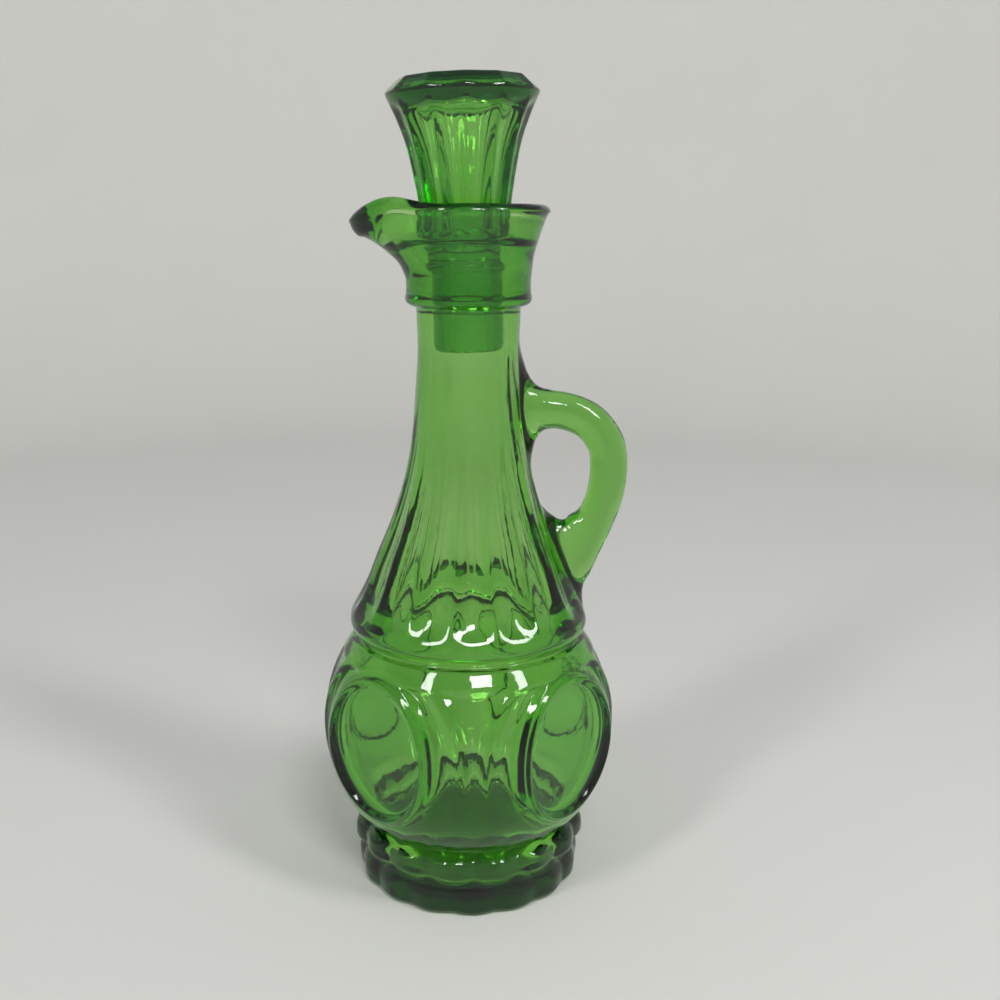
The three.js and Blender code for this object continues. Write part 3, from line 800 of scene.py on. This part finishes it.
def joined_handle():
    """Joins the trimmed handle to the bottle and softens their corner, hardly at the bar's sides."""
    sizes = {
        "Softness": HANDLE_JOINT_SOFTNESS * MM,
        "Half width": HANDLE_HALF_WIDTH * MM,
        "Side share": HANDLE_JOINT_SIDE_SHARE,
    }
    tree = GlassTree("Joined handle", sizes)
    face = tree.group.interface
    for label in ("Handle", "Core"):
        face.new_socket(label, in_out="INPUT", socket_type="NodeSocketObject")
    handle, core = (
        tree.add("GeometryNodeObjectInfo", {"Object": tree.entry.outputs[label]}).outputs["Geometry"]
        for label in ("Handle", "Core")
    )
    cut = {"Mesh 1": handle, "Mesh 2": core}
    trimmed = tree.add("GeometryNodeMeshBoolean", cut, operation="DIFFERENCE", solver="MANIFOLD")
    joined = tree.add("GeometryNodeMeshBoolean", operation="UNION", solver="MANIFOLD")
    both = (tree.line, trimmed.outputs["Mesh"])
    for piece in both:
        tree.group.links.new(piece, joined.inputs["Mesh 2"])
    to_bottle, to_handle = (
        Field(tree, tree.add("GeometryNodeProximity", {"Geometry": piece}).outputs["Distance"])
        for piece in both
    )
    near = tree.falls(0.0, tree.size("Softness"), tree.larger(to_bottle, to_handle))
    position = tree.add("GeometryNodeInputPosition").outputs["Position"]
    sideways = tree.size_of(tree.parts(position)[1])
    soft_share, crisp_share = HANDLE_JOINT_SIDES
    half_width = tree.size("Half width")
    crisp = tree.rises(half_width * soft_share, half_width * crisp_share, sideways)
    weight = near * (1.0 - crisp * (1.0 - tree.size("Side share")))
    blur = {"Value": position, "Iterations": HANDLE_JOINT_ROUNDS, "Weight": weight}
    softened = tree.add("GeometryNodeBlurAttribute", blur, data_type="FLOAT_VECTOR").outputs["Value"]
    tree.glaze(tree.changed(joined.outputs["Mesh"], "GeometryNodeSetPosition", position=softened))
    return tree


def shell_from(name, pieces):
    """One closed shell from pieces whose edges meet."""
    joined = bmesh.new()
    for piece in pieces:
        joined.from_mesh(piece.data)
    bmesh.ops.remove_doubles(joined, verts=joined.verts, dist=SEAM_DISTANCE * MM)
    bmesh.ops.recalc_face_normals(joined, faces=joined.faces)
    mesh = bpy.data.meshes.new(name)
    joined.to_mesh(mesh)
    joined.free()
    for piece in pieces:
        bpy.data.objects.remove(piece)
    shell = bpy.data.objects.new(name, mesh)
    bpy.context.scene.collection.objects.link(shell)
    return shell


def make_bottle(glass, turned):
    foot = made_by(turned, foot_line(), glass)
    neck = made_by(turned, neck_line(), glass)
    bulb = made_by(windowed_bulb(), line_object("bulb", [(0, 0), (0, 1)]), glass)
    shell = shell_from("glass_bottle", [foot, bulb, neck])
    handle = made_by(bent_handle(), handle_line(), glass)
    core = made_by(turned, core_line(), glass)
    for piece in (handle, core):
        outward(piece.data)
    bottle = made_by(joined_handle(), shell, glass, handle=handle, core=core)
    for piece in (handle, core):
        bpy.data.objects.remove(piece)
    return bottle


def outward(mesh):
    """Turns the faces of a closed surface outwards."""
    surface = bmesh.new()
    surface.from_mesh(mesh)
    bmesh.ops.recalc_face_normals(surface, faces=surface.faces)
    surface.to_mesh(mesh)
    surface.free()


# Stopper

def stopper_line():
    """From the closed top of the hollow down to the plug's end, then up the outside to the top's middle."""
    spacing = STOPPER_SPACING
    inward, upward = PLUG_END_ROUND
    mouth, plug_start = (CAVITY_MOUTH, PLUG_END_Z), (PLUG_RADIUS, PLUG_END_Z + upward)
    flange_start, head_foot = (PLUG_RADIUS, PLUG_TOP_Z), (HEAD_FOOT_RADIUS, HEAD_FOOT_Z)
    band, top_edge = (STOPPER_BAND_RADIUS, STOPPER_BAND_Z), (STOPPER_TOP_RADIUS, STOPPER_TOP_Z)
    hollow = smooth_line([*CAVITY_LINE, mouth], spacing["hollow"])
    plug_end = smooth_line([mouth, (PLUG_RADIUS - inward, PLUG_END_Z), plug_start], spacing["plug_end"])
    plug = straight(plug_start, flange_start, spacing["plug"])
    flange = smooth_line([flange_start, *FLANGE_LINE, head_foot], spacing["flange"])
    head = smooth_line([head_foot, *HEAD_LINE, band], spacing["head"])
    rim = smooth_line([band, *STOPPER_RIM_LINE], spacing["rim"])
    bevel = smooth_line([STOPPER_RIM_LINE[-1], *STOPPER_BEVEL_LINE, top_edge], spacing["bevel"])
    top = straight(top_edge, (0, STOPPER_TOP_Z), spacing["top"])
    points = chained(hollow, plug_end, plug, flange, head, rim, bevel, top)
    z = points[:, 1]
    is_outside = np.arange(len(points)) > len(hollow)
    run_in, run_out = STOPPER_FLUTE_FADES
    fluted = rises(HEAD_FOOT_Z, HEAD_FOOT_Z + run_in, z) * falls(STOPPER_BAND_Z - run_out, STOPPER_BAND_Z, z)
    faceted = rises(*STOPPER_FACET_Z, z)
    return turned_line(
        "glass_stopper", points,
        flute=STOPPER_FLUTE_DEPTH * fluted * is_outside, facet=faceted * is_outside,
    )


def lean(mesh, degrees, pivot_z):
    """Leans a mesh towards the spout about a point on the axis."""
    turn = math.radians(-degrees)
    for vertex in mesh.vertices:
        x, y, z = vertex.co
        up = z - pivot_z
        across = x * math.cos(turn) + up * math.sin(turn)
        vertex.co = (across, y, pivot_z + up * math.cos(turn) - x * math.sin(turn))


def make_stopper(glass, turned):
    stopper = made_by(
        turned, stopper_line(), glass, sides=STOPPER_SIDES, flutes=STOPPER_FLUTES,
        first_flute=math.radians(STOPPER_TURN),
    )
    outward(stopper.data)
    lean(stopper.data, STOPPER_LEAN, STOPPER_LEAN_Z * MM)
    return stopper


# Finish of the glass

def combined(group, operation, *sources):
    """A Math node of a shader group, fed by other sockets."""
    node = group.nodes.new("ShaderNodeMath")
    node.operation = operation
    for source, socket in zip(sources, node.inputs):
        group.links.new(source, socket)
    return node.outputs[0]


def upright_streaks(group, entry, place):
    """Fine upright streaks that the mould leaves between two heights."""
    nodes, links = group.nodes, group.links
    parts = nodes.new("ShaderNodeSeparateXYZ")
    links.new(place, parts.inputs["Vector"])
    stretched = nodes.new("ShaderNodeMapping")
    stretched.inputs["Scale"].default_value = (1, 1, STREAK_STRETCH)
    links.new(place, stretched.inputs["Vector"])
    streak = nodes.new("ShaderNodeTexNoise")
    links.new(stretched.outputs["Vector"], streak.inputs["Vector"])
    links.new(entry.outputs["Streak size"], streak.inputs["Scale"])
    within = []
    for label, direction in (("Streaks from", 1), ("Streaks to", -1)):
        share = nodes.new("ShaderNodeMapRange")
        share.inputs["From Min"].default_value = 0.0
        share.inputs["From Max"].default_value = STREAK_FADE * direction
        above = combined(group, "SUBTRACT", parts.outputs["Z"], entry.outputs[label])
        links.new(above, share.inputs["Value"])
        within.append(share.outputs["Result"])
    return combined(group, "MULTIPLY", streak.outputs["Fac"], combined(group, "MULTIPLY", *within))


def pressed_surface():
    """Shader group: the soft ripple and faint tint changes of pressed, fire-polished glass."""
    group = bpy.data.node_groups.new("Pressed glass surface", "ShaderNodeTree")
    face = group.interface
    sizes = {
        "Ripple size": 60.0, "Chill mark size": 420.0, "Chill marks": 0.12, "Haze": 0.03,
        "Streak size": 330.0, "Streaks": 0.5, "Streaks from": 0.085, "Streaks to": 0.16,
    }
    for label, value in sizes.items():
        face.new_socket(label, in_out="INPUT", socket_type="NodeSocketFloat").default_value = value
    face.new_socket("Tint", in_out="OUTPUT", socket_type="NodeSocketColor")
    face.new_socket("Roughness", in_out="OUTPUT", socket_type="NodeSocketFloat")
    face.new_socket("Height", in_out="OUTPUT", socket_type="NodeSocketFloat")
    nodes, links = group.nodes, group.links
    entry = nodes.new("NodeGroupInput")
    leave = nodes.new("NodeGroupOutput")
    place = nodes.new("ShaderNodeTexCoord").outputs["Object"]
    marks = []
    for label, detail in (("Ripple size", RIPPLE_DETAIL), ("Chill mark size", CHILL_DETAIL)):
        noise = nodes.new("ShaderNodeTexNoise")
        noise.inputs["Detail"].default_value = detail
        links.new(place, noise.inputs["Vector"])
        links.new(entry.outputs[label], noise.inputs["Scale"])
        marks.append(noise.outputs["Fac"])
    ripple, chill = marks
    height = combined(group, "MULTIPLY_ADD", chill, entry.outputs["Chill marks"], ripple)
    streaks = upright_streaks(group, entry, place)
    height = combined(group, "MULTIPLY_ADD", streaks, entry.outputs["Streaks"], height)
    links.new(height, leave.inputs["Height"])
    links.new(combined(group, "MULTIPLY", chill, entry.outputs["Haze"]), leave.inputs["Roughness"])
    tint = nodes.new("ShaderNodeMix")
    tint.data_type = "RGBA"
    for label, colour in GLASS_TINTS.items():
        tint.inputs[label].default_value = colour
    links.new(ripple, tint.inputs["Factor"])
    links.new(tint.outputs["Result"], leave.inputs["Tint"])
    return group


def green_glass(name, surface, glass):
    """Clear glass that takes light by its depth, with the pressed surface on it."""
    material = bpy.data.materials.new(name)
    material.use_nodes = True
    nodes, links = material.node_tree.nodes, material.node_tree.links
    shader = nodes["Principled BSDF"]
    shader.inputs["Transmission Weight"].default_value = 1.0
    shader.inputs["IOR"].default_value = GLASS_IOR
    finish = nodes.new("ShaderNodeGroup")
    finish.node_tree = surface
    lowest, highest = glass["streaks"]
    values = {
        "Ripple size": glass["ripple_size"], "Haze": GLASS_HAZE,
        "Streaks from": lowest, "Streaks to": highest,
    }
    for label, value in values.items():
        finish.inputs[label].default_value = value
    links.new(finish.outputs["Tint"], shader.inputs["Base Color"])
    links.new(finish.outputs["Roughness"], shader.inputs["Roughness"])
    bump = nodes.new("ShaderNodeBump")
    bump.inputs["Strength"].default_value = BUMP_STRENGTH
    bump.inputs["Distance"].default_value = BUMP_DISTANCE
    links.new(finish.outputs["Height"], bump.inputs["Height"])
    links.new(bump.outputs["Normal"], shader.inputs["Normal"])
    depth = nodes.new("ShaderNodeVolumeAbsorption")
    depth.inputs["Color"].default_value = (*GLASS_COLOUR, 1)
    depth.inputs["Density"].default_value = glass["density"]
    links.new(depth.outputs["Volume"], nodes["Material Output"].inputs["Volume"])
    return material


# Room

def pale_paint():
    """Matt paint with a faint mottle."""
    material = bpy.data.materials.new("pale paint")
    material.use_nodes = True
    nodes, links = material.node_tree.nodes, material.node_tree.links
    shader = nodes["Principled BSDF"]
    shader.inputs["Roughness"].default_value = PAINT_ROUGHNESS
    place = nodes.new("ShaderNodeTexCoord")
    mottle = nodes.new("ShaderNodeTexNoise")
    mottle.inputs["Scale"].default_value = PAINT_GRAIN
    links.new(place.outputs["Object"], mottle.inputs["Vector"])
    mix = nodes.new("ShaderNodeMix")
    mix.data_type = "RGBA"
    mix.inputs["A"].default_value = (*[channel * PAINT_SHADE for channel in PAINT], 1)
    mix.inputs["B"].default_value = (*PAINT, 1)
    links.new(mottle.outputs["Fac"], mix.inputs["Factor"])
    links.new(mix.outputs["Result"], shader.inputs["Base Color"])
    return material


def make_room():
    """A pale round floor that curves up into a low pale wall all round."""
    bend_start, sides = ROOM_RADIUS - ROOM_BEND, ROOM_SIDES
    turn = np.linspace(0, math.pi / 2, ROOM_BEND_STEPS)
    curve = [(bend_start + ROOM_BEND * math.sin(t), ROOM_BEND - ROOM_BEND * math.cos(t)) for t in turn]
    rows = [(FLOOR_RADIUS, 0.0), *curve, (ROOM_RADIUS, ROOM_HEIGHT)]
    around = np.linspace(0, 2 * math.pi, sides, endpoint=False)
    corners = [(r * math.cos(a), r * math.sin(a), z - FLOOR_GAP * MM) for r, z in rows for a in around]
    faces = [tuple(range(sides))]
    for row in range(len(rows) - 1):
        for side in range(sides):
            here, after = row * sides + side, row * sides + (side + 1) % sides
            faces.append((here, here + sides, after + sides, after))
    mesh = bpy.data.meshes.new("floor_and_wall")
    mesh.from_pydata(corners, [], faces)
    mesh.shade_smooth()
    room = bpy.data.objects.new("floor_and_wall", mesh)
    bpy.context.scene.collection.objects.link(room)
    mesh.materials.append(pale_paint())


def soft_light(name, place, target, size, power):
    light = bpy.data.lights.new(name, "AREA")
    light.shape = "RECTANGLE"
    light.size, light.size_y = size
    light.energy = power
    lamp = bpy.data.objects.new(name, light)
    lamp.location = place
    lamp.rotation_euler = (Vector(target) - Vector(place)).to_track_quat("-Z", "Y").to_euler()
    bpy.context.scene.collection.objects.link(lamp)


def make_lights():
    for light in LIGHTS:
        soft_light(*light)
    world = bpy.data.worlds.new("room light")
    bpy.context.scene.world = world
    world.use_nodes = True
    for label, value in SKY.items():
        world.node_tree.nodes["Background"].inputs[label].default_value = value


def make_camera():
    camera = bpy.data.cameras.new("camera")
    camera.lens = CAMERA_LENS
    camera.shift_x = CAMERA_SHIFT
    camera.clip_start = CAMERA_NEAREST
    eye = bpy.data.objects.new("camera", camera)
    turn = math.radians(CAMERA_TURN)
    eye.location = (
        CAMERA_DISTANCE * MM * math.sin(turn), -CAMERA_DISTANCE * MM * math.cos(turn), CAMERA_HEIGHT * MM,
    )
    eye.rotation_euler = (math.radians(90 - CAMERA_PITCH), 0, turn)
    scene = bpy.context.scene
    scene.collection.objects.link(eye)
    scene.camera = eye
    scene.view_settings.view_transform = "Standard"
    scene.cycles.max_bounces = LIGHT_BOUNCES
    scene.cycles.transmission_bounces = LIGHT_BOUNCES


surface = pressed_surface()
bottle_glass = green_glass("bottle green glass", surface, BOTTLE_GLASS)
stopper_glass = green_glass("stopper green glass", surface, STOPPER_GLASS)
turned = turned_glass()
bottle = make_bottle(bottle_glass, turned)
stopper = make_stopper(stopper_glass, turned)
for piece, node, slot in ((bottle, "bottle", "bottle_glass"), (stopper, "stopper", "stopper_glass")):
    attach(piece, "root")
    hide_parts(node)
make_room()
make_lights()
make_camera()
